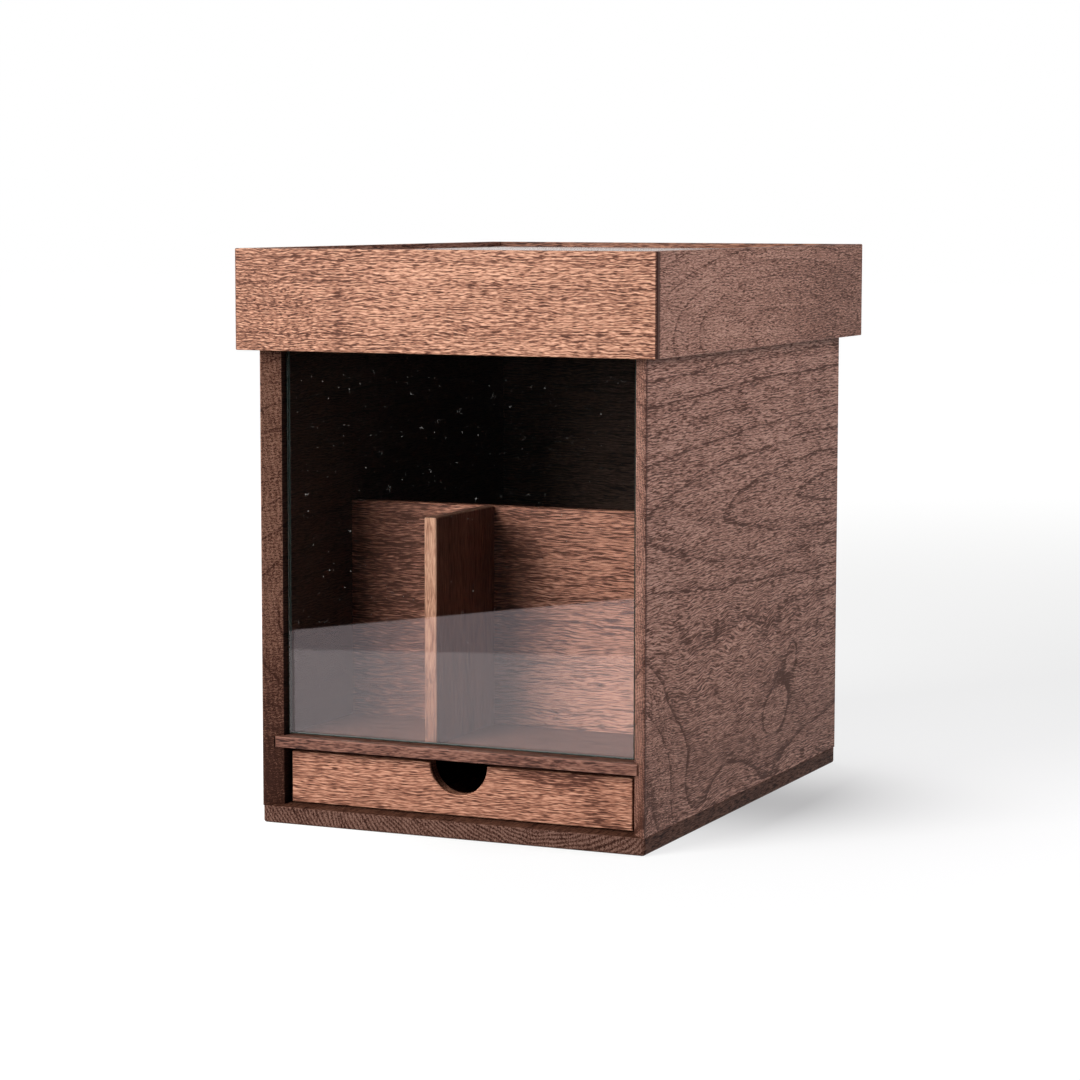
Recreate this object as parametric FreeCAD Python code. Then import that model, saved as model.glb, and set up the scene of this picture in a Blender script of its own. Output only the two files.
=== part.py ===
import FreeCAD, Part
import os

os.makedirs("parts", exist_ok=True)

# A walnut makeup box: an open-fronted carcase with a drawer at its foot, a
# glass flap in front of two bottle compartments and a deep cap of a lid that
# turns on two butt hinges behind the back panel.
# The origin is on the surface it stands on, under the middle of the whole box.
# X runs to the right, Y to the back and Z up. Every length is in millimetres.

# Carcase
body_width = 240.0
body_depth = 326.5
wall_rise_into_lid = 14.4
side_thickness = 9.5
back_thickness = 9.5
bottom_thickness = 10.0
stile_land = 0.9
stile_arris = 0.4
bottom_corner_radius = 2.0
bottom_rim_radius = 1.5
board_arris = 0.5

# Shelf and the housings it slides into
drawer_bay_height = 34.1
shelf_thickness = 6.4
shelf_setback = 4.2
shelf_arris = 1.0
shelf_corner = 0.8
dado_depth = 4.2
shelf_end_room = 0.4

# Walls on the shelf
wall_thickness = 7.5
partition_height = 130.6
half_wall_setback = 98.0
divider_setback = 19.1
divider_left_of_middle = 19.5
top_rail_setback = 24.0
top_rail_width = 9.5
top_rail_height = 12.0

# Drawer
drawer_setback = 13.0
drawer_side_gap = 2.9
drawer_foot_gap = 1.0
drawer_runner_gap = 0.3
drawer_front_height = 29.8
drawer_front_thickness = 8.0
drawer_board_thickness = 6.0
drawer_side_height = 26.7
drawer_rear_room = 5.0
drawer_floor_thickness = 4.0
drawer_floor_lift = 3.0
drawer_groove_depth = 3.0
drawer_groove_room = 0.3
notch_radius = 18.0
guide_setback = 24.0
guide_height = 14.0
guide_lift = 6.0
guide_running_gap = 0.4

# Glass flap
pane_thickness = 5.0
pane_setback = 12.0
pane_side_gap = 1.4
pane_foot_gap = 0.8
pane_arris = 0.7
pane_seat_depth = 4.5
flap_rail_drop = 1.1
flap_rail_height = 12.5
flap_rail_width = 10.0
flap_rail_end_gap = 1.0
flap_pin_radius = 1.5
flap_pin_drop = 4.5
flap_pin_in_rail = 9.0
flap_pin_in_side = 6.0
flap_pin_end_room = 0.4

# Lid
lid_board_thickness = 9.5
lid_side_room = 0.8
lid_front_room = 0.8
lid_back_room = 5.6
lid_foot = 275.6
lid_height = 58.1
lid_corner_chamfer = 1.2
lid_arris = 0.6
panel_recess = 3.05
panel_thickness = 6.0
panel_groove_depth = 4.0
panel_groove_room = 0.5
mirror_thickness = 3.0
mirror_margin = 14.0
mirror_arris = 0.5
rest_block_width = 10.0
rest_block_gap = 0.3

# Hinges
hinge_from_middle = 70.0
hinge_length = 30.0
hinge_axis_drop = 1.1
leaf_thickness = 1.2
leaf_height = 14.0
knuckle_radius = 2.4
knuckle_gap = 0.3
hinge_pin_radius = 1.0
pin_room = 0.05

# Hinge screws
screw_length = 8.0
screw_head_radius = 2.4
screw_shank_radius = 1.2
screw_room = 0.05
screw_slot_width = 0.6
screw_slot_depth = 0.5
screw_spacing = 20.0
screw_height = 9.0

# A cut that goes right through reaches this far past the faces that it opens.
overcut = 1.0

# Places worked out from the sizes above
body_half = body_width / 2.0
side_inner = body_half - side_thickness
lid_half = body_half + lid_side_room + lid_board_thickness
lid_inner_half = lid_half - lid_board_thickness
lid_depth = body_depth + lid_front_room + lid_back_room + 2.0 * lid_board_thickness
lid_front = -lid_depth / 2.0
lid_back = lid_depth / 2.0
lid_inner_front = lid_front + lid_board_thickness
lid_inner_back = lid_back - lid_board_thickness
lid_top = lid_foot + lid_height
wall_top = lid_foot + wall_rise_into_lid
body_front = lid_inner_front + lid_front_room
body_back = body_front + body_depth
back_inner = body_back - back_thickness
shelf_foot = bottom_thickness + drawer_bay_height
shelf_top = shelf_foot + shelf_thickness
partition_top = shelf_top + partition_height
half_wall_front = body_front + half_wall_setback
drawer_half = side_inner - drawer_side_gap
drawer_front_foot = bottom_thickness + drawer_foot_gap
drawer_front_top = drawer_front_foot + drawer_front_height
drawer_front_face = body_front + drawer_setback
drawer_front_back = drawer_front_face + drawer_front_thickness
drawer_end = back_inner - drawer_rear_room
drawer_side_foot = bottom_thickness + drawer_runner_gap
drawer_side_top = drawer_side_foot + drawer_side_height
drawer_side_inner = drawer_half - drawer_board_thickness
drawer_floor_foot = drawer_side_foot + drawer_floor_lift
drawer_floor_top = drawer_floor_foot + drawer_floor_thickness
guide_inner = drawer_half + guide_running_gap
pane_half = side_inner - pane_side_gap
pane_front = body_front + pane_setback
pane_middle = pane_front + pane_thickness / 2.0
flap_rail_foot = lid_foot - flap_rail_drop
pane_top = flap_rail_foot + pane_seat_depth
flap_rail_top = flap_rail_foot + flap_rail_height
flap_rail_half = side_inner - flap_rail_end_gap
flap_axis_height = flap_rail_top - flap_pin_drop
panel_top = lid_top - panel_recess
panel_foot = panel_top - panel_thickness
hinge_axis_y = body_back + lid_back_room / 2.0
hinge_axis_z = lid_foot - hinge_axis_drop
knuckle_length = (hinge_length - 2.0 * knuckle_gap) / 3.0


def block(x_low, x_high, y_low, y_high, z_low, z_high):
    corner = FreeCAD.Vector(x_low, y_low, z_low)
    return Part.makeBox(x_high - x_low, y_high - y_low, z_high - z_low, corner)


def prism(points, z_low, z_high):
    # The plan outline through the points, drawn up from z_low to z_high.
    corners = [FreeCAD.Vector(x, y, z_low) for x, y in points]
    outline = Part.makePolygon(corners + corners[:1])
    return Part.Face(outline).extrude(FreeCAD.Vector(0, 0, z_high - z_low))


def rod_along_x(radius, x_low, x_high, y, z):
    start = FreeCAD.Vector(x_low, y, z)
    return Part.makeCylinder(radius, x_high - x_low, start, FreeCAD.Vector(1, 0, 0))


def edges_where(shape, test):
    return [edge for edge in shape.Edges if test(edge.BoundBox)]


def flat_in_z(bounds, height):
    return abs(bounds.ZMin - height) < 0.01 and abs(bounds.ZMax - height) < 0.01


def flat_in_y(bounds, place):
    return abs(bounds.YMin - place) < 0.01 and abs(bounds.YMax - place) < 0.01


def upright(bounds):
    return bounds.XLength < 0.01 and bounds.YLength < 0.01


def save(node, *solids):
    shape = solids[0] if len(solids) == 1 else Part.makeCompound(list(solids))
    shape.exportStep("parts/" + node + ".step")


# Carcase boards


def make_bottom_board():
    board = block(-body_half, body_half, body_front, body_back, 0.0, bottom_thickness)
    corners = edges_where(board, upright)
    board = board.makeFillet(bottom_corner_radius, corners)
    board = board.makeFillet(bottom_rim_radius, edges_where(board, lambda b: flat_in_z(b, 0.0)))
    rims = edges_where(board, lambda b: flat_in_z(b, bottom_thickness))
    return board.makeChamfer(stile_arris, rims)


def make_side(side):
    # side is -1 for the left board and 1 for the right one. Its front edge is
    # bevelled inwards at 45 degrees and leaves a narrow land at the outer face.
    bevel = side_thickness - stile_land
    plan = [
        (body_half - stile_arris, body_front),
        (body_half, body_front + stile_arris),
        (body_half, body_back),
        (side_inner, body_back),
        (side_inner, body_front + bevel),
        (body_half - stile_land, body_front),
    ]
    board = prism([(side * x, y) for x, y in plan], bottom_thickness, wall_top)
    housing = sorted([side * (side_inner - overcut), side * (side_inner + dado_depth)])
    dado = block(*housing, body_front - overcut, back_inner, shelf_foot, shelf_top)
    bore_reach = flap_pin_in_side + flap_pin_end_room
    bore_x = sorted([side * (side_inner - overcut), side * (side_inner + bore_reach)])
    bore = rod_along_x(flap_pin_radius + pin_room, *bore_x, pane_middle, flap_axis_height)
    return board.cut(dado).cut(bore)


def make_back_panel():
    panel = block(-side_inner, side_inner, back_inner, body_back, bottom_thickness, wall_top)
    for screw_x in hinge_screw_places():
        panel = panel.cut(screw(screw_x, -1.0, screw_room))
    return panel


def make_top_rail():
    # Ties the sides together behind the flap, out of sight behind the lid.
    front = body_front + top_rail_setback
    foot = wall_top - top_rail_height
    return block(-side_inner, side_inner, front, front + top_rail_width, foot, wall_top)


def make_shelf():
    half = side_inner + dado_depth - shelf_end_room
    front = body_front + shelf_setback
    board = block(-half, half, front, back_inner, shelf_foot, shelf_top)
    ends = edges_where(board, lambda b: upright(b) and flat_in_y(b, front))
    board = board.makeChamfer(shelf_corner, ends)
    nose = edges_where(board, lambda b: flat_in_z(b, shelf_top) and flat_in_y(b, front))
    return board.makeFillet(shelf_arris, nose)


def make_half_wall():
    back = half_wall_front + wall_thickness
    wall = block(-side_inner, side_inner, half_wall_front, back, shelf_top, partition_top)
    rims = edges_where(wall, lambda b: flat_in_z(b, partition_top) and b.YLength < 0.01)
    return wall.makeChamfer(board_arris, rims)


def make_divider():
    left = -divider_left_of_middle - wall_thickness / 2.0
    front = body_front + divider_setback
    wall = block(left, left + wall_thickness, front, half_wall_front, shelf_top, partition_top)
    uprights = edges_where(wall, lambda b: upright(b) and flat_in_y(b, front))
    rims = edges_where(wall, lambda b: flat_in_z(b, partition_top) and b.XLength < 0.01)
    return wall.makeChamfer(board_arris, uprights + rims)


def make_drawer_guide(side):
    x_range = sorted([side * guide_inner, side * side_inner])
    foot = bottom_thickness + guide_lift
    front = body_front + guide_setback
    return block(*x_range, front, back_inner, foot, foot + guide_height)


# Drawer


def drawer_floor(room):
    # The floor board, and with room the grooves that hold its edges.
    half = drawer_side_inner + drawer_groove_depth - drawer_groove_room + room
    front = drawer_front_back - drawer_groove_depth + drawer_groove_room - room
    return block(-half, half, front, drawer_end, drawer_floor_foot, drawer_floor_top)


def make_drawer_front():
    board = block(-drawer_half, drawer_half, drawer_front_face, drawer_front_back,
                  drawer_front_foot, drawer_front_top)
    notch_start = FreeCAD.Vector(0, drawer_front_face - overcut, drawer_front_top)
    notch_reach = drawer_front_thickness + 2.0 * overcut
    notch = Part.makeCylinder(notch_radius, notch_reach, notch_start, FreeCAD.Vector(0, 1, 0))
    board = board.cut(notch)
    outline = edges_where(board, lambda b: flat_in_y(b, drawer_front_face))
    board = board.makeChamfer(board_arris, outline)
    return board.cut(drawer_floor(drawer_groove_room))


def make_drawer_side(side):
    x_range = sorted([side * drawer_side_inner, side * drawer_half])
    board = block(*x_range, drawer_front_back, drawer_end, drawer_side_foot, drawer_side_top)
    return board.cut(drawer_floor(drawer_groove_room))


def make_drawer_back():
    return block(-drawer_side_inner, drawer_side_inner, drawer_end - drawer_board_thickness,
                 drawer_end, drawer_floor_top, drawer_side_top)


# Glass flap


def make_glass_pane():
    foot = shelf_top + pane_foot_gap
    pane = block(-pane_half, pane_half, pane_front, pane_front + pane_thickness, foot, pane_top)
    outline = edges_where(pane, lambda b: b.YLength < 0.01)
    return pane.makeChamfer(pane_arris, outline)


def flap_pin(side, room):
    # A pin pressed into one end of the rail, turning in a bore in the side
    # board. With room it is the hole that takes it in the rail.
    inner = flap_rail_half - flap_pin_in_rail - room
    x_range = sorted([side * inner, side * (side_inner + flap_pin_in_side)])
    return rod_along_x(flap_pin_radius + room, *x_range, pane_middle, flap_axis_height)


def make_flap_rail():
    half_width = flap_rail_width / 2.0
    rail = block(-flap_rail_half, flap_rail_half, pane_middle - half_width,
                 pane_middle + half_width, flap_rail_foot, flap_rail_top)
    seat = block(-body_half, body_half, pane_front, pane_front + pane_thickness,
                 flap_rail_foot - overcut, pane_top)
    return rail.cut(seat).cut(flap_pin(-1, pin_room)).cut(flap_pin(1, pin_room))


# Lid


def lid_ring():
    # The four boards of the skirt in one, with the groove for the top panel.
    ring = block(-lid_half, lid_half, lid_front, lid_back, lid_foot, lid_top)
    ring = ring.makeChamfer(lid_corner_chamfer, edges_where(ring, upright))
    rims = edges_where(ring, lambda b: flat_in_z(b, lid_foot) or flat_in_z(b, lid_top))
    ring = ring.makeFillet(lid_arris, rims)
    hollow = block(-lid_inner_half, lid_inner_half, lid_inner_front, lid_inner_back,
                   lid_foot - overcut, lid_top + overcut)
    return ring.cut(hollow).cut(top_panel(panel_groove_depth))


def top_panel(reach):
    # The panel that reaches this far into the skirt boards all round.
    half = lid_inner_half + reach
    return block(-half, half, lid_inner_front - reach, lid_inner_back + reach,
                 panel_foot, panel_top)


def lid_board(ring, across, along):
    # The mitred board on one side of the ring. across and along turn the
    # wedge, drawn for the front board, to the side that is wanted.
    reach = 2.0 * lid_board_thickness
    half = lid_half if along == 0 else lid_depth / 2.0
    face = lid_depth / 2.0 if along == 0 else lid_half
    wedge = [
        (-half - overcut, -face - overcut),
        (half + overcut, -face - overcut),
        (half - reach, -face + reach),
        (-half + reach, -face + reach),
    ]
    if along == 0:
        turned = [(x, -across * y) for x, y in wedge]
    else:
        turned = [(-across * y, x) for x, y in wedge]
    return ring.common(prism(turned, lid_foot - overcut, lid_top + overcut))


def make_lid_back_board(ring):
    board = lid_board(ring, 1, 0)
    for screw_x in hinge_screw_places():
        board = board.cut(screw(screw_x, 1.0, screw_room))
    return board


def make_lid_mirror():
    half = lid_inner_half - mirror_margin
    mirror = block(-half, half, lid_inner_front + mirror_margin, lid_inner_back - mirror_margin,
                   panel_foot - mirror_thickness, panel_foot)
    rims = edges_where(mirror, lambda b: flat_in_z(b, panel_foot - mirror_thickness))
    return mirror.makeChamfer(mirror_arris, rims)


def make_rest_blocks():
    # Blocks glued into the lid's corners, which rest on the carcase walls.
    blocks = []
    inner = lid_inner_half - rest_block_width
    for x_range in ((-lid_inner_half, -inner), (inner, lid_inner_half)):
        for y_low in (lid_inner_front, lid_inner_back - rest_block_width):
            blocks.append(block(*x_range, y_low, y_low + rest_block_width,
                                wall_top + rest_block_gap, panel_foot))
    return blocks


# Hinges. turn is -1 for the leaf on the carcase and 1 for the leaf on the lid.


def hinge_middles():
    return [-hinge_from_middle, hinge_from_middle]


def hinge_screw_places():
    half = screw_spacing / 2.0
    return [middle + shift for middle in hinge_middles() for shift in (-half, half)]


def screw(x, turn, room):
    # A countersunk wood screw with its head flush with the leaf, driven away
    # from the hinge axis. With room it is the hole that takes it.
    z = hinge_axis_z + screw_height
    head_y = hinge_axis_y + turn * (lid_back_room / 2.0 - leaf_thickness)
    direction = FreeCAD.Vector(0, turn, 0)
    start = FreeCAD.Vector(x, head_y, z)
    head = Part.makeCone(screw_head_radius + room, screw_shank_radius + room,
                         leaf_thickness, start, direction)
    shank = Part.makeCylinder(screw_shank_radius + room, screw_length + room, start, direction)
    body = head.fuse(shank).removeSplitter()
    if room > 0:
        return body
    half_slot = screw_slot_width / 2.0
    slot_y = sorted([head_y - turn * overcut, head_y + turn * screw_slot_depth])
    slot = block(x - screw_head_radius, x + screw_head_radius, *slot_y, z - half_slot, z + half_slot)
    return body.cut(slot)


def hinge_leaf(middle, turn):
    wall = hinge_axis_y + turn * lid_back_room / 2.0
    y_range = sorted([wall, wall - turn * leaf_thickness])
    plate_foot = hinge_axis_z + knuckle_radius + knuckle_gap
    left = middle - hinge_length / 2.0
    leaf = block(left, left + hinge_length, *y_range, plate_foot, hinge_axis_z + leaf_height)
    step = knuckle_length + knuckle_gap
    own_knuckles = (0, 2) if turn < 0 else (1,)
    for number in own_knuckles:
        start = left + number * step
        end = start + knuckle_length
        leaf = leaf.fuse(block(start, end, *y_range, hinge_axis_z, plate_foot))
        leaf = leaf.fuse(rod_along_x(knuckle_radius, start, end, hinge_axis_y, hinge_axis_z))
    bore = rod_along_x(hinge_pin_radius + pin_room, left - overcut,
                       left + hinge_length + overcut, hinge_axis_y, hinge_axis_z)
    leaf = leaf.cut(bore)
    for screw_x in hinge_screw_places():
        leaf = leaf.cut(screw(screw_x, turn, screw_room))
    return leaf.removeSplitter()


def hinge_pin(middle):
    half = hinge_length / 2.0
    return rod_along_x(hinge_pin_radius, middle - half, middle + half,
                       hinge_axis_y, hinge_axis_z)


save("bottom_board", make_bottom_board())
save("left_side", make_side(-1))
save("right_side", make_side(1))
save("back_panel", make_back_panel())
save("top_rail", make_top_rail())
save("shelf", make_shelf())
save("half_wall", make_half_wall())
save("divider", make_divider())
save("left_drawer_guide", make_drawer_guide(-1))
save("right_drawer_guide", make_drawer_guide(1))

save("drawer_front", make_drawer_front())
save("drawer_left_side", make_drawer_side(-1))
save("drawer_right_side", make_drawer_side(1))
save("drawer_back", make_drawer_back())
save("drawer_floor", drawer_floor(0.0))

save("glass_pane", make_glass_pane())
save("flap_rail", make_flap_rail())
save("flap_pins", flap_pin(-1, 0.0), flap_pin(1, 0.0))

ring = lid_ring()
save("lid_front", lid_board(ring, -1, 0))
save("lid_back", make_lid_back_board(ring))
save("lid_left", lid_board(ring, -1, 1))
save("lid_right", lid_board(ring, 1, 1))
save("lid_top_panel", top_panel(panel_groove_depth - panel_groove_room))
save("lid_mirror", make_lid_mirror())
save("lid_rest_blocks", *make_rest_blocks())

save("hinge_body_leaves", *[hinge_leaf(middle, -1.0) for middle in hinge_middles()])
save("hinge_lid_leaves", *[hinge_leaf(middle, 1.0) for middle in hinge_middles()])
save("hinge_pins", *[hinge_pin(middle) for middle in hinge_middles()])
save("body_leaf_screws", *[screw(x, -1.0, 0.0) for x in hinge_screw_places()])
save("lid_leaf_screws", *[screw(x, 1.0, 0.0) for x in hinge_screw_places()])
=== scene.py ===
# Walnut makeup box: the finish of every piece, the studio and the camera.
# Lengths inside the materials are millimetres, everywhere else metres.
import math

import bpy
from mathutils import Matrix

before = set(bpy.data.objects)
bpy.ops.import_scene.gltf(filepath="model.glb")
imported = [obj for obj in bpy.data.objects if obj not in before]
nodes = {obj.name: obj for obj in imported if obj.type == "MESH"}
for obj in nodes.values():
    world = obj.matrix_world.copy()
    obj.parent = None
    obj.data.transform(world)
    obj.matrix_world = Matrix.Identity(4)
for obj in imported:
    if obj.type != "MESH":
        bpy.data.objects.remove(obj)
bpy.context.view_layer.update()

print("frame loaded:", len(nodes), "pieces")


class Wire:
    # one output of a shader node; arithmetic on it adds Math nodes
    def __init__(self, recipe, node, socket):
        self.recipe = recipe
        self.node = node
        self.socket = socket

    def __getitem__(self, name):
        return Wire(self.recipe, self.node, self.node.outputs[name])

    def __add__(self, other):
        return self.recipe.math("ADD", self, other)

    def __radd__(self, other):
        return self.recipe.math("ADD", other, self)

    def __sub__(self, other):
        return self.recipe.math("SUBTRACT", self, other)

    def __rsub__(self, other):
        return self.recipe.math("SUBTRACT", other, self)

    def __mul__(self, other):
        return self.recipe.math("MULTIPLY", self, other)

    def __rmul__(self, other):
        return self.recipe.math("MULTIPLY", other, self)

    def __truediv__(self, other):
        return self.recipe.math("DIVIDE", self, other)

    def __neg__(self):
        return self.recipe.math("MULTIPLY", self, -1.0)

    def __abs__(self):
        return self.recipe.math("ABSOLUTE", self)


class Recipe:
    # the node tree of one material, or of the world
    def __init__(self, owner):
        owner.use_nodes = True
        self.tree = owner.node_tree
        self.tree.nodes.clear()

    def add(self, kind, settings=None, sockets=None, out=0):
        node = self.tree.nodes.new(kind)
        for name, value in (settings or {}).items():
            if name == "stops":
                self.setStops(node.color_ramp, value)
            else:
                setattr(node, name, value)
        for name, value in (sockets or {}).items():
            if isinstance(value, Wire):
                self.tree.links.new(value.socket, node.inputs[name])
            else:
                node.inputs[name].default_value = value
        return Wire(self, node, node.outputs[out] if len(node.outputs) else None)

    def setStops(self, ramp, stops):
        while len(ramp.elements) < len(stops):
            ramp.elements.new(1.0)
        for element, (place, colour) in zip(ramp.elements, stops):
            element.position = place
            element.color = (*colour, 1.0)

    def math(self, operation, *values):
        return self.add("ShaderNodeMath", {"operation": operation}, dict(enumerate(values)))

    def least(self, first, second):
        return self.math("MINIMUM", first, second)

    def most(self, first, second):
        return self.math("MAXIMUM", first, second)

    def smooth(self, value, low, high):
        # 0 below low, 1 above high, an S curve between
        return self.add("ShaderNodeMapRange", {"interpolation_type": "SMOOTHSTEP"},
                        {"Value": value, "From Min": low, "From Max": high})

    def within(self, value, start, full, wane, gone):
        # rises from start to full and sinks from wane to gone
        return self.smooth(value, start, full) * (1.0 - self.smooth(value, wane, gone))

    def fade(self, distance):
        # 1 at no distance, sinking by a factor e with each unit
        return self.math("POWER", math.e, -distance)

    def vector(self, x, y, z):
        return self.add("ShaderNodeCombineXYZ", {}, {0: x, 1: y, 2: z})

    def cloud(self, point, detail=2.0, roughness=0.5):
        # soft noise around 0.5 whose grains are about one unit across
        return self.add("ShaderNodeTexNoise", {"noise_dimensions": "3D"},
                        {"Vector": point, "Scale": 1.0, "Detail": detail, "Roughness": roughness})

    def blend(self, amount, first, second, how="MIX"):
        # colours: amount 0 gives the first, 1 gives the second
        return self.add("ShaderNodeMix", {"data_type": "RGBA", "blend_type": how},
                        {0: amount, 6: first, 7: second}, out=2)

    def bell(self, along, across, swell):
        # a soft round hill: rise * exp(-(along/reach)^2 - (across/reach)^2)
        first = (along - swell[0]) / swell[2]
        second = (across - swell[1]) / swell[3]
        return swell[4] * self.fade(first * first + second * second)


def newMaterial(name):
    material = bpy.data.materials.new(name)
    return material, Recipe(material)


def dress(material, *names):
    for name in names:
        for slot in nodes[name].material_slots:
            slot.material = material


# Walnut. Every board gets its own cut from the log; what differs from the usual stands beside its name.

usualWalnut = {
    "grain": "x",                   # way the fibres run
    "across": "z",                  # way across them on the broad face
    "seed": 0.0,                    # which part of the log
    "tint": (1.0, 1.0, 1.0),
    "dark": (0.059, 0.019, 0.009),  # colours of the three tones
    "middle": (0.266, 0.121, 0.075),
    "light": (0.527, 0.304, 0.205),
    "pith": (40.0, -60.0),          # centre of the rings, across and through the board
    "tilt": (0.02, 0.05),           # how the pith leans along the board
    "nearest": 6.0,                 # the face never comes closer to the pith
    "spacing": 13.0,                # between dark ring lines
    "offset": 0.0,
    "drift": 14.0,                  # slow wander of the rings
    "driftSize": (110.0, 34.0),
    "lines": 0.30,                  # depth of the ring lines
    "lineSpan": (0.84, 0.965, 0.97, 0.995),     # where in a ring a line starts, is full, wanes, ends
    "breakSize": (22.0, 4.0),       # the lines are broken in pieces about this long and wide
    "late": 0.04,                   # soft darkening that leads up to each line
    "lateSpan": (0.4, 0.95, 0.965, 0.995),
    "swells": (),                   # hills in the rings: along, across, two reaches, rise
    "flow": 0.0,                    # how much the fibres follow those hills
    "broad": (),                    # hills that only the rings follow
    "sway": 1.2,                    # waviness of the fibres
    "swaySize": (34.0, 14.0),
    "curls": (),                    # places with wavier fibres: along, across, two reaches, gain
    "ripple": 0.0,                  # height of the short waves there
    "rippleSize": (24.0, 22.0),
    "dash": (8.5, 0.62),            # length and width of the pore dashes
    "dashes": 0.55,                 # depth of the dashes
    "crowding": 0.16,               # how unevenly the dashes are spread
    "crowdSize": (30.0, 6.0),
    "gather": 0.14,                 # how much they gather on the ring lines
    "weave": 0.34,                  # depth of the close, even lines between the dashes
    "pitch": 1.8,                   # millimetres from one such line to the next
    "stray": (2.6, 3.4),            # width of the places where they stray, and how far
    "shorts": (),                   # places where the fibres dive and the dashes get short
    "shortness": 0.25,              # how short, as a share of the others
    "ragged": (10.0, 5.0),          # size of the notches in the borders of these places
    "fine": 2.0,                    # contrast of the finest fibres
    "streaks": 0.42,                # contrast of the streaks, bands and blotches
    "streakSize": (38.0, 1.9),
    "bands": 0.32,
    "bandSize": (95.0, 7.0),
    "blotches": 0.35,
    "blotchSize": (44.0, 18.0),
    "plain": 0.66,                  # tone of plain wood: 0 is dark, 0.5 middle, 1 light
    "shift": 0.0,                   # lighter above zero
    "shades": (),                   # lighter or darker places, mostly painted light and shade, some tone: along, across, two reaches, change
    "seams": (),                    # the same, left out on the ends
    "gloss": 0.16,
    "rough": 0.56,
    "endGrain": (0.47, 0.43, 0.44),     # colour of the cut ends against the long faces
    "arris": 0.12,                  # painted highlight: how much lighter the eased edges are made
    "endRings": 0.35,               # the fine yearly rings that only an end shows
    "endSpacing": 2.3,
    "endLean": None,                # if given, they lie along the broad face and lean this much
    "endDrift": 4.0,
    "endDriftSize": (60.0, 9.0),
    "inside": None,                 # axis and sign of the faces that look into the box, which get a painted shade of the colour below
    "insideTint": (0.26, 0.23, 0.23),
}


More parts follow.
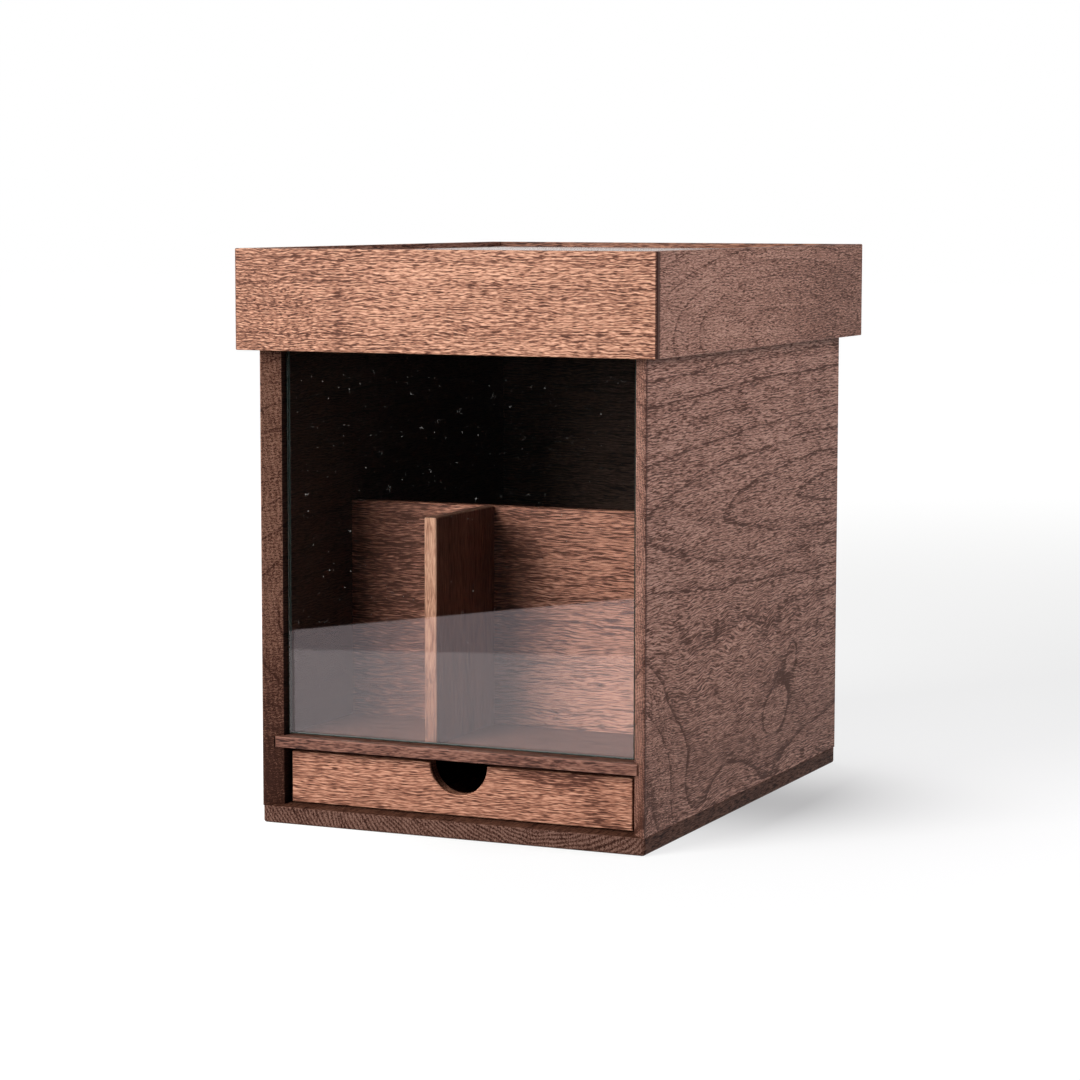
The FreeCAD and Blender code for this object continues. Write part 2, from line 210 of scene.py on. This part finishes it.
def walnut(name, values):
    # A solid texture. The rings are cylinders round a leaning pith: distance from it, plus wander and
    # swells, over the spacing. The dashes are noise drawn out along the fibres, so they read as dashes
    # on a long face and as dots on an end.
    use = {**usualWalnut, **values}
    material, make = newMaterial(name)
    spot = make.add("ShaderNodeTexCoord")
    scaled = make.add("ShaderNodeVectorMath", {"operation": "SCALE"},
                      {0: spot["Object"], "Scale": 1000.0})
    place = make.add("ShaderNodeSeparateXYZ", {}, {0: scaled})
    facing = make.add("ShaderNodeSeparateXYZ", {}, {0: spot["Normal"]})
    letters = {"x": "X", "y": "Y", "z": "Z"}
    deepAxis = ({"x", "y", "z"} - {use["grain"], use["across"]}).pop()
    along = place[letters[use["grain"]]]
    across = place[letters[use["across"]]]
    deep = place[letters[deepAxis]]
    seed = use["seed"]

    def grainCloud(size, shift, detail=2.0, roughness=0.5, side=None):
        # noise whose grains are size[0] millimetres long and size[1] wide and deep
        point = make.vector(along / size[0] + (seed + shift), (side or across) / size[1] + (seed - shift),
                            deep / size[1] + shift)
        return make.cloud(point, detail, roughness)["Fac"]

    def hillsOf(key):
        return sum((make.bell(along, across, hill) for hill in use[key]), 0.0)

    # rings
    hills = hillsOf("swells")
    wander = (grainCloud(use["driftSize"], 3.7) - 0.5) * use["drift"]
    inPlane = across - use["pith"][0] + along * use["tilt"][0]
    behind = make.most(abs(deep - use["pith"][1] + along * use["tilt"][1]), use["nearest"])
    radius = make.math("SQRT", inPlane * inPlane + behind * behind) + wander
    distance = radius + hills + hillsOf("broad")
    ring = (distance - use["offset"]) / use["spacing"]
    phase = make.math("FRACT", ring)
    number = make.math("FLOOR", ring)
    luck = make.add("ShaderNodeTexWhiteNoise", {"noise_dimensions": "1D"}, {"W": number + seed})["Value"]
    broken = make.smooth(grainCloud(use["breakSize"], 8.1), 0.34, 0.6)
    line = make.within(phase, *use["lineSpan"]) * (0.35 + 0.65 * broken) * (0.35 + 0.65 * luck)
    late = make.within(phase, *use["lateSpan"])

    # fibres
    sway = (grainCloud(use["swaySize"], 5.3, 1.0) - 0.5) * (use["sway"] * 4.0)
    if use["curls"]:
        curly = hillsOf("curls")
        waves = (grainCloud(use["rippleSize"], 17.6, 1.0) - 0.5) * use["ripple"]
        sway = sway * (1.0 + curly) + waves * curly
    fibre = across + sway + wander * 0.15 + hills * use["flow"]
    long, wide = use["dash"]
    dash = grainCloud((long, wide), 11.3, 1.0, 0.5, fibre)
    fine = grainCloud((long * 0.5, wide * 0.5), 12.7, 1.0, 0.5, fibre)
    if use["shorts"]:
        diving = sum((make.bell(along, across, (*zone, 1.0)) for zone in use["shorts"]), 0.0)
        ragged = diving + (grainCloud(use["ragged"], 6.6) - 0.5) * 0.7
        amount = make.smooth(ragged, 0.42, 0.56)
        dot = grainCloud((long * use["shortness"], wide * 0.85), 13.1, 1.0, 0.5, fibre)
        dash = dash + (dot - dash) * amount
    crowd = (grainCloud(use["crowdSize"], 1.9) - 0.5) * use["crowding"]
    dark = make.smooth(dash + crowd + line * use["gather"], 0.51, 0.62)
    strayWidth, strayed = use["stray"]
    bend = (grainCloud((long, strayWidth), 4.4, 1.0, 0.5, fibre) - 0.5) * strayed
    strength = make.smooth(grainCloud((long * 0.7, 1.1), 15.2, 1.0, 0.5, fibre), 0.3, 0.7)
    weave = make.math("SINE", (fibre + bend) * (2.0 * math.pi / use["pitch"])) * strength

    # broad changes, what only the ends show, and the painted highlight on the eased edges
    streak = grainCloud(use["streakSize"], 2.2, 2.0, 0.6, fibre)
    band = grainCloud(use["bandSize"], 7.4, 2.0, 0.5, fibre)
    blotch = grainCloud(use["blotchSize"], 9.9)
    endOn = make.smooth(abs(facing[letters[use["grain"]]]), 0.35, 0.85)
    square = make.most(make.most(abs(facing["X"]), abs(facing["Y"])), abs(facing["Z"]))
    # painted light and shade: the lighter or darker places, plus the painted highlight on the eased edges
    shades = hillsOf("shades") + (1.0 - make.smooth(square, 0.85, 0.97)) * use["arris"]
    year = radius
    if use["endLean"] is not None:
        wobble = (grainCloud(use["endDriftSize"], 18.9) - 0.5) * use["endDrift"]
        year = deep + across * use["endLean"] + wobble
    yearly = (make.math("PINGPONG", year / use["endSpacing"], 0.5) - 0.25) * (use["endRings"] * 2.0)
    if use["seams"]:
        shades = shades + hillsOf("seams") * (1.0 - endOn)
    tone = (use["plain"] + use["shift"] + shades + yearly * endOn - dark * use["dashes"] - line * use["lines"]
            - late * use["late"] + (fine - 0.5) * use["fine"] + weave * use["weave"]
            + (streak - 0.5) * use["streaks"]
            + (band - 0.5) * use["bands"] + (blotch - 0.5) * use["blotches"])
    stops = ((0.0, use["dark"]), (0.5, use["middle"]), (1.0, use["light"]))
    wood = make.add("ShaderNodeValToRGB", {"stops": stops}, {"Fac": tone})["Color"]
    ends = make.blend(endOn, (1.0, 1.0, 1.0, 1.0), (*use["endGrain"], 1.0))
    wood = make.blend(1.0, wood, ends, "MULTIPLY")
    wood = make.blend(1.0, wood, (*use["tint"], 1.0), "MULTIPLY")
    # painted shade: the faces that look into the box are darkened, for the dim light inside
    if use["inside"]:
        axis, sign = use["inside"]
        inner = make.smooth(facing[letters[axis]] * sign, 0.8, 0.95)
        paintedInsideShade = make.blend(inner, (1.0, 1.0, 1.0, 1.0), (*use["insideTint"], 1.0))
        wood = make.blend(1.0, wood, paintedInsideShade, "MULTIPLY")

    roughness = use["rough"] + dark * 0.1 - (streak - 0.5) * 0.1
    bump = make.add("ShaderNodeBump", {}, {"Strength": 0.3, "Distance": 0.00012,
                                           "Height": 1.0 - dark - line * 0.4})
    surface = make.add("ShaderNodeBsdfPrincipled", {}, {"Base Color": wood, "Roughness": roughness,
                                                        "Specular IOR Level": use["gloss"], "Normal": bump})
    make.add("ShaderNodeOutputMaterial", {}, {"Surface": surface})
    return material


lidFront = {
    "seed": 1.3, "lines": 0.12, "endGrain": (0.25, 0.2, 0.2), "tint": (0.95, 0.88, 0.84),
    "dash": (7.0, 0.6), "dashes": 0.68, "weave": 0.5,
    "shorts": ((-116.0, 292.0, 50.0, 34.0),), "shortness": 0.4,
    "shades": ((-118.0, 300.0, 60.0, 60.0, -0.19), (-63.0, 292.0, 4.0, 17.0, -0.22),
               (20.0, 300.0, 70.0, 40.0, 0.03), (130.6, 300.0, 1.0, 200.0, -1.6)),
}
dress(walnut("lidFrontWalnut", lidFront), "lid_front")

# painted shade on the face that looks into the box
lidBack = {"seed": 14.6, "inside": ("y", -1.0), "insideTint": (0.5, 0.42, 0.38)}
dress(walnut("lidBackWalnut", lidBack), "lid_back")

lidRight = {
    "grain": "y", "seed": 27.1, "dash": (7.0, 0.58), "sway": 1.3, "crowding": 0.24,
    "endGrain": (0.25, 0.2, 0.2), "tint": (1.0, 1.01, 1.08),
    # painted shade: darker towards the back; also a narrow dark line along the front corner
    "shades": ((140.0, 300.0, 120.0, 60.0, -0.24), (-174.8, 300.0, 2.1, 900.0, -2.2)),
    "pith": (286.0, 124.1), "tilt": (0.0, -0.225), "spacing": 9.0, "offset": 4.6,
    "drift": 4.0, "lines": 0.16,
}
dress(walnut("lidRightWalnut", lidRight), "lid_right")

# painted shade on the face that looks into the box
lidLeft = {"grain": "y", "seed": 33.8, "pith": (40.0, 20.0), "inside": ("x", 1.0),
           "insideTint": (0.6, 0.52, 0.5)}
dress(walnut("lidLeftWalnut", lidLeft), "lid_left")

lidTop = {"grain": "y", "across": "x", "seed": 41.2, "pith": (15.0, 240.0), "gloss": 0.45, "rough": 0.2}
dress(walnut("lidTopWalnut", lidTop), "lid_top_panel")

rightSide = {
    "grain": "y", "seed": 52.4, "dash": (9.0, 0.58), "dashes": 0.68, "lines": 0.34, "offset": 25.0,
    "crowding": 0.3, "gather": 0.19, "arris": 0.0, "streaks": 0.6, "weave": 0.4, "endRings": 0.6,
    "inside": ("x", -1.0), "insideTint": (0.7, 0.66, 0.66), "seams": ((-165.5, 140.0, 1.5, 900.0, -1.1),),
    "pith": (181.0, 99.5), "tilt": (0.0, -0.1), "drift": 5.0, "driftSize": (60.0, 24.0),
    "broad": ((-24.0, 11.0, 418.0, 47.0, -117.5),),
    "swells": ((-155.0, 22.0, 46.0, 35.0, 38.0),
               (-82.0, 108.0, 64.0, 13.0, -7.7), (42.0, 97.0, 82.0, 16.0, -12.2),
               (78.0, 88.0, 14.0, 10.0, 6.5), (43.0, 47.0, 26.0, 14.5, 11.0),
               (-38.0, 19.0, 74.0, 22.5, 28.5), (106.0, 19.0, 92.0, 19.6, 24.3),
               (-112.0, 80.0, 53.0, 26.6, -19.6), (-15.0, 72.0, 75.0, 25.2, -19.2),
               (140.5, 73.0, 63.5, 25.2, -22.4)),
    "flow": -0.32, "sway": 1.2, "swaySize": (52.0, 20.0), "curls": ((-20.0, 85.0, 170.0, 45.0, 0.9),),
    "ripple": 12.0, "endLean": 0.12, "late": 0.09,
    # painted shade: darker towards the bottom; the face inside the box gets a painted shade too
    "shades": ((0.0, 10.0, 300.0, 110.0, -0.16),), "tint": (0.97, 0.98, 1.07),
    "shorts": ((-150.0, 40.0, 42.0, 62.0), (50.0, 60.0, 16.0, 20.0)),
}
dress(walnut("rightSideWalnut", rightSide), "right_side")

leftSide = {
    # painted shade: a darker tint, darker still towards the bottom of the stile, and a dark face inside the
    # box
    "grain": "y", "seed": 64.9, "pith": (120.0, -90.0), "tilt": (0.0, 0.09), "tint": (0.72, 0.72, 0.75),
    "arris": 0.0, "inside": ("x", 1.0), "insideTint": (0.16, 0.14, 0.14),
    "endGrain": (0.62, 0.57, 0.56), "endLean": 0.09, "shades": ((-160.0, 0.0, 60.0, 82.0, -0.72),),
}
dress(walnut("leftSideWalnut", leftSide), "left_side")

# painted shade on the face that looks into the box
backPanel = {"grain": "x", "seed": 73.3, "pith": (150.0, 120.0), "tilt": (0.03, 0.08),
             "inside": ("y", -1.0), "insideTint": (0.17, 0.15, 0.15)}
dress(walnut("backPanelWalnut", backPanel), "back_panel")

bottomBoard = {"grain": "y", "across": "x", "seed": 84.7, "pith": (60.0, 80.0), "tint": (0.22, 0.18, 0.17),
               "endGrain": (1.27, 1.48, 1.75), "endRings": 0.8, "gloss": 0.05}
dress(walnut("bottomWalnut", bottomBoard), "bottom_board")

# painted highlight: a strong edge highlight on the shelf's eased edges
shelf = {"grain": "x", "across": "y", "seed": 95.1, "pith": (10.0, -30.0), "tint": (0.36, 0.29, 0.3),
         "arris": 0.5}
dress(walnut("shelfWalnut", shelf), "shelf")

halfWall = {
    "grain": "x", "seed": 108.2, "dash": (11.0, 0.6), "dashes": 0.8, "sway": 1.5,
    "swaySize": (30.0, 12.0), "fine": 2.9, "weave": 0.36, "tint": (0.72, 0.565, 0.57),
    # painted shade in the left compartment, a painted shadow of the divider just right of it, painted light
    # low on the right
    "shades": ((-82.0, 115.0, 42.0, 200.0, -0.42), (75.0, 75.0, 60.0, 35.0, 0.3),
               (2.0, 145.0, 14.0, 50.0, -0.4)),
}
dress(walnut("halfWallWalnut", halfWall), "half_wall")

divider = {
    "grain": "z", "across": "y", "seed": 117.5, "pith": (-100.0, 0.0), "tint": (0.87, 0.8, 0.8),
    "dash": (14.0, 0.6), "dashes": 0.26, "weave": 0.2, "fine": 1.3, "shift": -0.06,
    # painted light and shade on the front edge: lighter high up and round a height of 66, darker round 50;
    # the face toward +X gets a painted shade
    "shades": ((165.0, -152.0, 70.0, 8.0, 0.47), (50.0, -146.5, 50.0, 8.0, -0.5),
               (66.0, -152.0, 24.0, 8.0, 0.4)),
    "inside": ("x", 1.0), "insideTint": (0.5, 0.42, 0.4),
}
dress(walnut("dividerWalnut", divider), "divider")

drawerFront = {"grain": "x", "seed": 121.9, "dash": (10.0, 0.6), "sway": 0.7, "weave": 0.42,
               "tint": (0.87, 0.76, 0.73), "shades": ((-80.0, 25.0, 60.0, 60.0, -0.06),)}
dress(walnut("drawerFrontWalnut", drawerFront), "drawer_front")

crossPieces = {"grain": "x", "seed": 133.0}
dress(walnut("crossPieceWalnut", crossPieces), "top_rail", "flap_rail", "drawer_back")

longPieces = {"grain": "y", "seed": 146.4}
dress(walnut("longPieceWalnut", longPieces), "left_drawer_guide", "right_drawer_guide",
      "drawer_left_side", "drawer_right_side")

drawerFloor = {"grain": "y", "across": "x", "seed": 151.6}
dress(walnut("drawerFloorWalnut", drawerFloor), "drawer_floor")

restBlocks = {"grain": "z", "across": "x", "seed": 163.7}
dress(walnut("restBlockWalnut", restBlocks), "lid_rest_blocks")
print("walnut done")


paneGlass = {
    "tint": (0.93, 0.965, 0.95),
    "passed": (0.95, 0.965, 0.955),     # colour of the light that falls through it
    "index": 1.5,
    "edge": (0.035, 0.05, 0.045),       # the cut edges read dark green
    "edgeRough": 0.25,
    "middle": -151.0,                   # half way through the pane; the dust lies before it
    "dust": 3.4,                        # millimetres between specks
    "dustSize": 0.075,
    "bare": 0.4,                        # share of the places without a speck
    "cover": 0.6,                       # how opaque the densest speck is
    "dustColour": (0.62, 0.6, 0.58),
    "wipe": 34.0,                       # width of the wiped, cleaner places
    "hairs": 0.35,                      # how dense the few lint hairs are
    "hairCurl": 3.4,
    "hairSpread": 5.0,
}


def glassMaterial(name, use):
    # Clear float glass. Light passes straight through it for shadows and soft light, so what stands
    # behind is lit; the eye sees it bent and mirrored. Specks of dust and a few hairs lie on its face.
    material, make = newMaterial(name)
    spot = make.add("ShaderNodeTexCoord")
    scaled = make.add("ShaderNodeVectorMath", {"operation": "SCALE"}, {0: spot["Object"], "Scale": 1000.0})
    place = make.add("ShaderNodeSeparateXYZ", {}, {0: scaled})
    cells = make.add("ShaderNodeTexVoronoi", {"voronoi_dimensions": "2D", "feature": "F1"},
                     {"Vector": make.vector(place["X"], place["Z"], 0.0), "Scale": 1.0 / use["dust"],
                      "Randomness": 1.0})
    chance = make.add("ShaderNodeSeparateColor", {}, {0: cells["Color"]})
    size = use["dustSize"] * chance["Red"] * chance["Red"]
    there = make.smooth(chance["Green"], use["bare"], use["bare"] + 0.02)
    speck = (1.0 - make.smooth(cells["Distance"], size * 0.7, size)) * there
    speck = speck * (0.25 + 0.75 * chance["Blue"] * chance["Blue"])
    wide, curl, spread = use["wipe"], use["hairCurl"], use["hairSpread"]
    wipe = make.cloud(make.vector(place["X"] / wide, place["Y"] / wide, place["Z"] / wide))["Fac"]
    wave = make.cloud(make.vector(place["X"] / curl, 4.0, place["Z"] / curl), 0.0)["Fac"]
    where = make.cloud(make.vector(place["X"] / spread, 9.0, place["Z"] / spread), 0.0)["Fac"]
    hair = (1.0 - make.smooth(abs(wave - 0.5), 0.003, 0.009)) * make.smooth(where, 0.74, 0.76)
    outer = 1.0 - make.smooth(place["Y"], use["middle"] - 0.5, use["middle"] + 0.5)
    speck = make.most(speck * (0.3 + wipe), hair * use["hairs"]) * outer
    clear = make.add("ShaderNodeBsdfPrincipled", {},
                     {"Base Color": (*use["tint"], 1.0), "Roughness": 0.0,
                      "IOR": use["index"], "Transmission Weight": 1.0})
    dust = make.add("ShaderNodeBsdfDiffuse", {}, {"Color": (*use["dustColour"], 1.0)})
    dusty = make.add("ShaderNodeMixShader", {}, {0: speck * use["cover"], 1: clear, 2: dust})
    facing = make.add("ShaderNodeSeparateXYZ", {}, {0: spot["Normal"]})
    rim = 1.0 - make.smooth(abs(facing["Y"]), 0.8, 0.95)
    cut = make.add("ShaderNodeBsdfPrincipled", {},
                   {"Base Color": (*use["edge"], 1.0), "Roughness": use["edgeRough"]})
    dusty = make.add("ShaderNodeMixShader", {}, {0: rim, 1: dusty, 2: cut})
    through = make.add("ShaderNodeBsdfTransparent", {}, {"Color": (*use["passed"], 1.0)})
    ray = make.add("ShaderNodeLightPath")
    soft = make.most(ray["Is Shadow Ray"], ray["Is Diffuse Ray"])
    both = make.add("ShaderNodeMixShader", {}, {0: soft, 1: dusty, 2: through})
    make.add("ShaderNodeOutputMaterial", {}, {"Surface": both})
    return material


dress(glassMaterial("paneGlass", paneGlass), "glass_pane")

mirror = {"colour": (0.88, 0.9, 0.9), "hazed": (0.84, 0.87, 0.87), "rough": 0.006, "smudge": 0.05,
          "clouds": 14.0}     # clouds to the metre


def mirrorMaterial(name, use):
    # Silvered glass: a metal with almost no roughness, slightly clouded where it was wiped.
    material, make = newMaterial(name)
    spot = make.add("ShaderNodeTexCoord")
    broad = make.add("ShaderNodeVectorMath", {"operation": "SCALE"},
                     {0: spot["Object"], "Scale": use["clouds"]})
    haze = make.cloud(broad, 3.0)["Fac"]
    roughness = use["rough"] + make.smooth(haze, 0.45, 0.8) * use["smudge"]
    colour = make.blend(haze, (*use["colour"], 1.0), (*use["hazed"], 1.0))
    shade = make.add("ShaderNodeBsdfPrincipled", {}, {"Base Color": colour, "Roughness": roughness,
                                                      "Metallic": 1.0})
    make.add("ShaderNodeOutputMaterial", {}, {"Surface": shade})
    return material


dress(mirrorMaterial("mirrorGlass", mirror), "lid_mirror")

brass = {"bright": (0.83, 0.62, 0.3), "dull": (0.52, 0.36, 0.16), "rough": 0.24,
         "strokes": (60.0, 900.0), "clouds": 90.0}     # both to the metre, strokes along and across


def brassMaterial(name, use):
    # Satin brass: fine brushing along the hinge, with duller clouds where it has been handled.
    material, make = newMaterial(name)
    spot = make.add("ShaderNodeTexCoord")
    place = make.add("ShaderNodeSeparateXYZ", {}, {0: spot["Object"]})
    length, width = use["strokes"]
    dense = use["clouds"]
    lines = make.cloud(make.vector(place["X"] * length, place["Y"] * width, place["Z"] * width), 2.0)["Fac"]
    cloudy = make.cloud(make.vector(place["X"] * dense, place["Y"] * dense, place["Z"] * dense), 3.0)["Fac"]
    worn = make.smooth(cloudy, 0.4, 0.7)
    colour = make.blend(worn, (*use["bright"], 1.0), (*use["dull"], 1.0))
    roughness = use["rough"] + worn * 0.14 + (lines - 0.5) * 0.2
    bump = make.add("ShaderNodeBump", {}, {"Strength": 0.2, "Distance": 0.00003, "Height": lines})
    shade = make.add("ShaderNodeBsdfPrincipled", {}, {"Base Color": colour, "Roughness": roughness,
                                                      "Metallic": 1.0, "Normal": bump})
    make.add("ShaderNodeOutputMaterial", {}, {"Surface": shade})
    return material


dress(brassMaterial("satinBrass", brass), "hinge_body_leaves", "hinge_lid_leaves", "hinge_pins",
      "body_leaf_screws", "lid_leaf_screws", "flap_pins")
print("glass, mirror and brass done")


floor = {
    "halfWidth": 12.0,
    "below": 0.0003,                # how far under the box it lies
    "glow": 0.765,                  # own light of the floor near the box, as the eye sees it
    "lit": (0.2, 0.2, 0.196),       # what it returns of the lamps' light
    "contact": 0.36,                # deepening of the shadow along the foot of the right side
    "foot": (0.15, 0.015),          # where that is deepest
    "footReach": (0.05, 0.1),
    "footStart": (0.06, 0.11),      # it sets in between these, under the box
    "leftLean": 0.25,
    "leftReach": 0.25,              # the floor is white this far left of a leaning line
    "farReach": (0.7, 2.7),         # and again between these, all round
    "paper": (2.0, 1.72, 1.78),     # what the pane mirrors close to the box
    "paperFar": (1.30, 1.08, 1.14),
    "paperEnd": ((-0.503, -0.8784), (0.870, 0.493), 0.006),     # a point, the way inwards, half the blur
    "paperFold": ((-0.448, -0.7784), (0.282, 0.959), 0.008),
    "beyond": 0.01,
    "behind": (-0.26, -0.12),       # from here on backwards gloss sees white
    "bounce": 0.15,                 # what soft light gets back from it
}


def lookingRays(make):
    # rays that reach the eye straight or through glass only, and rays that gloss sends out
    ray = make.add("ShaderNodeLightPath")
    bent = make.least(1.0, ray["Ray Depth"] - ray["Transmission Depth"])
    direct = make.most(ray["Is Camera Ray"], ray["Is Transmission Ray"] * (1.0 - bent))
    gloss = make.most(ray["Is Glossy Ray"], ray["Is Transmission Ray"] * bent)
    return direct, gloss


def floorPlane(use):
    # a flat square a hair under the box: four corners
    reach = use["halfWidth"]
    low = -use["below"]
    corners = [(-reach, -reach, low), (reach, -reach, low), (reach, reach, low), (-reach, reach, low)]
    mesh = bpy.data.meshes.new("floor")
    mesh.from_pydata(corners, [], [(0, 1, 2, 3)])
    plane = bpy.data.objects.new("floor", mesh)
    bpy.context.scene.collection.objects.link(plane)
    return plane


def floorMaterial(name, use):
    # White paper sweep. To the eye it is its own glow plus some of the light that falls on it, so only
    # the shadow shows; the glow sinks by exp(-distance from the foot of the right side). In the pane it
    # is a lit sheet with two edges, and dark beyond them.
    material, make = newMaterial(name)
    spot = make.add("ShaderNodeTexCoord")
    place = make.add("ShaderNodeSeparateXYZ", {}, {0: spot["Object"]})
    x = place["X"]
    y = place["Y"]

    def past(line):
        # 0 before a straight line, 1 beyond it
        through, inwards, blur = line
        offset = (x - through[0]) * inwards[0] + (y - through[1]) * inwards[1]
        return make.smooth(offset, -blur, blur)

    away = make.math("SQRT", x * x + y * y)
    off = make.most(x - use["foot"][0], 0.0) / use["footReach"][0]
    middle = (y - use["foot"][1]) / use["footReach"][1]
    corner = make.fade(off + middle * middle) * make.smooth(x, *use["footStart"])
    near = use["glow"] - corner * use["contact"]
    near = near + (1.0 - near) * make.smooth(-x - y * use["leftLean"], 0.0, use["leftReach"])
    glow = near + (1.0 - near) * make.smooth(away, *use["farReach"])
    lit = make.add("ShaderNodeBsdfDiffuse", {}, {"Color": (*use["lit"], 1.0)})
    glowing = make.blend(glow, (0.0, 0.0, 0.0, 1.0), (1.0, 1.0, 1.0, 1.0))
    own = make.add("ShaderNodeEmission", {}, {"Color": glowing, "Strength": 1.0})
    seen = make.add("ShaderNodeAddShader", {}, {0: lit, 1: own})
    paper = make.blend(past(use["paperFold"]), (*use["paperFar"], 1.0), (*use["paper"], 1.0))
    sheet = make.blend(past(use["paperEnd"]), (*[use["beyond"]] * 3, 1.0), paper)
    sheet = make.blend(make.smooth(y, *use["behind"]), sheet, (1.0, 1.0, 1.0, 1.0))
    mirrored = make.add("ShaderNodeEmission", {}, {"Color": sheet, "Strength": 1.0})
    soft = make.add("ShaderNodeBsdfDiffuse", {}, {"Color": (*[use["bounce"]] * 3, 1.0)})
    direct, gloss = lookingRays(make)
    other = make.add("ShaderNodeMixShader", {}, {0: gloss, 1: soft, 2: mirrored})
    both = make.add("ShaderNodeMixShader", {}, {0: direct, 1: other, 2: seen})
    make.add("ShaderNodeOutputMaterial", {}, {"Surface": both})
    return material


ground = floorPlane(floor)
ground.data.materials.append(floorMaterial("paperFloor", floor))

surroundings = {
    "ambient": 0.012,               # what soft light gets from it
    "dark": 0.008,                  # the least that gloss sees
    "backGlow": 1.15,
    "backTurn": (-0.15, 0.25),      # the back begins between these, by the Y of the way looked
    "backTop": (0.12, 0.32),        # and ends upwards between these, by its Z
    "frontGlow": 0.42,
    "frontTurn": (-0.35, 0.1),
    "frontRise": (0.04, 0.6),
}


def backdrop(use):
    # White to the eye. Gloss sees a white wall low down behind the box, and before it a room that is
    # dark at the horizon and grows lighter upwards, which the open lid's mirror shows.
    world = bpy.data.worlds.new("studio")
    bpy.context.scene.world = world
    make = Recipe(world)
    spot = make.add("ShaderNodeTexCoord")
    way = make.add("ShaderNodeSeparateXYZ", {}, {0: spot["Generated"]})
    rear = make.smooth(way["Y"], *use["backTurn"]) * (1.0 - make.smooth(way["Z"], *use["backTop"]))
    front = (1.0 - make.smooth(way["Y"], *use["frontTurn"])) * make.smooth(way["Z"], *use["frontRise"])
    shine = use["dark"] + rear * use["backGlow"] + front * use["frontGlow"]
    direct, gloss = lookingRays(make)
    level = use["ambient"] + (shine - use["ambient"]) * gloss
    level = level + (1.0 - level) * direct
    colour = make.blend(level, (0.0, 0.0, 0.0, 1.0), (1.0, 1.0, 1.0, 1.0))
    light = make.add("ShaderNodeBackground", {}, {"Color": colour, "Strength": 1.0})
    make.add("ShaderNodeOutputWorld", {}, {"Surface": light})


backdrop(surroundings)

lamps = {
    "key": {"place": (-0.735, -1.731, 0.844), "aim": (0.0, 0.0, 0.16), "size": 1.07, "watts": 76.0,
            "colour": (1.0, 1.0, 1.0)},
    "rightFill": {"place": (0.95, -0.06, 0.60), "aim": (0.12, -0.02, 0.15), "size": 0.5, "watts": 6.6,
                  "colour": (0.98, 0.98, 1.08)},
    "backFill": {"place": (-1.2, 1.35, 1.42), "aim": (0.0, 0.0, 0.16), "size": 1.4, "watts": 14.0,
                 "colour": (1.0, 1.0, 1.0)},
}


def addLamp(name, use):
    # a square softbox that faces its aim
    light = bpy.data.lights.new(name, "AREA")
    light.shape = "SQUARE"
    light.size = use["size"]
    light.energy = use["watts"]
    light.color = use["colour"]
    lamp = bpy.data.objects.new(name, light)
    lamp.visible_camera = False
    lamp.matrix_world = facingMatrix(use["place"], [p - a for p, a in zip(use["place"], use["aim"])])
    bpy.context.scene.collection.objects.link(lamp)


def facingMatrix(place, back):
    # a frame at a place whose Z axis points back, with its X axis level
    length = math.sqrt(sum(part * part for part in back))
    z = [part / length for part in back]
    flat = math.hypot(z[0], z[1])
    x = (-z[1] / flat, z[0] / flat, 0.0)
    y = (z[1] * x[2] - z[2] * x[1], z[2] * x[0] - z[0] * x[2], z[0] * x[1] - z[1] * x[0])
    rows = [(x[i], y[i], z[i], place[i]) for i in range(3)]
    return Matrix((*rows, (0.0, 0.0, 0.0, 1.0)))


for name, use in lamps.items():
    addLamp(name, use)
print("studio lit by", len(lamps), "lamps")

cameraView = {
    "place": (0.76547, -1.75808, 0.35991),
    "turn": 23.993,                 # degrees to the left of straight ahead
    "down": 6.107,
    "roll": -0.0727,
    "lens": 105.19,
}


def addCamera(use):
    turn = math.radians(use["turn"])
    down = math.radians(use["down"])
    roll = math.radians(use["roll"])
    back = (math.sin(turn) * math.cos(down), -math.cos(turn) * math.cos(down), math.sin(down))
    data = bpy.data.cameras.new("camera")
    data.lens = use["lens"]
    data.sensor_width = 36.0
    data.clip_start = 0.05
    data.clip_end = 60.0
    camera = bpy.data.objects.new("camera", data)
    camera.matrix_world = facingMatrix(use["place"], back) @ Matrix.Rotation(-roll, 4, "Z")
    bpy.context.scene.collection.objects.link(camera)
    bpy.context.scene.camera = camera


addCamera(cameraView)
bpy.context.scene.view_settings.view_transform = "Standard"
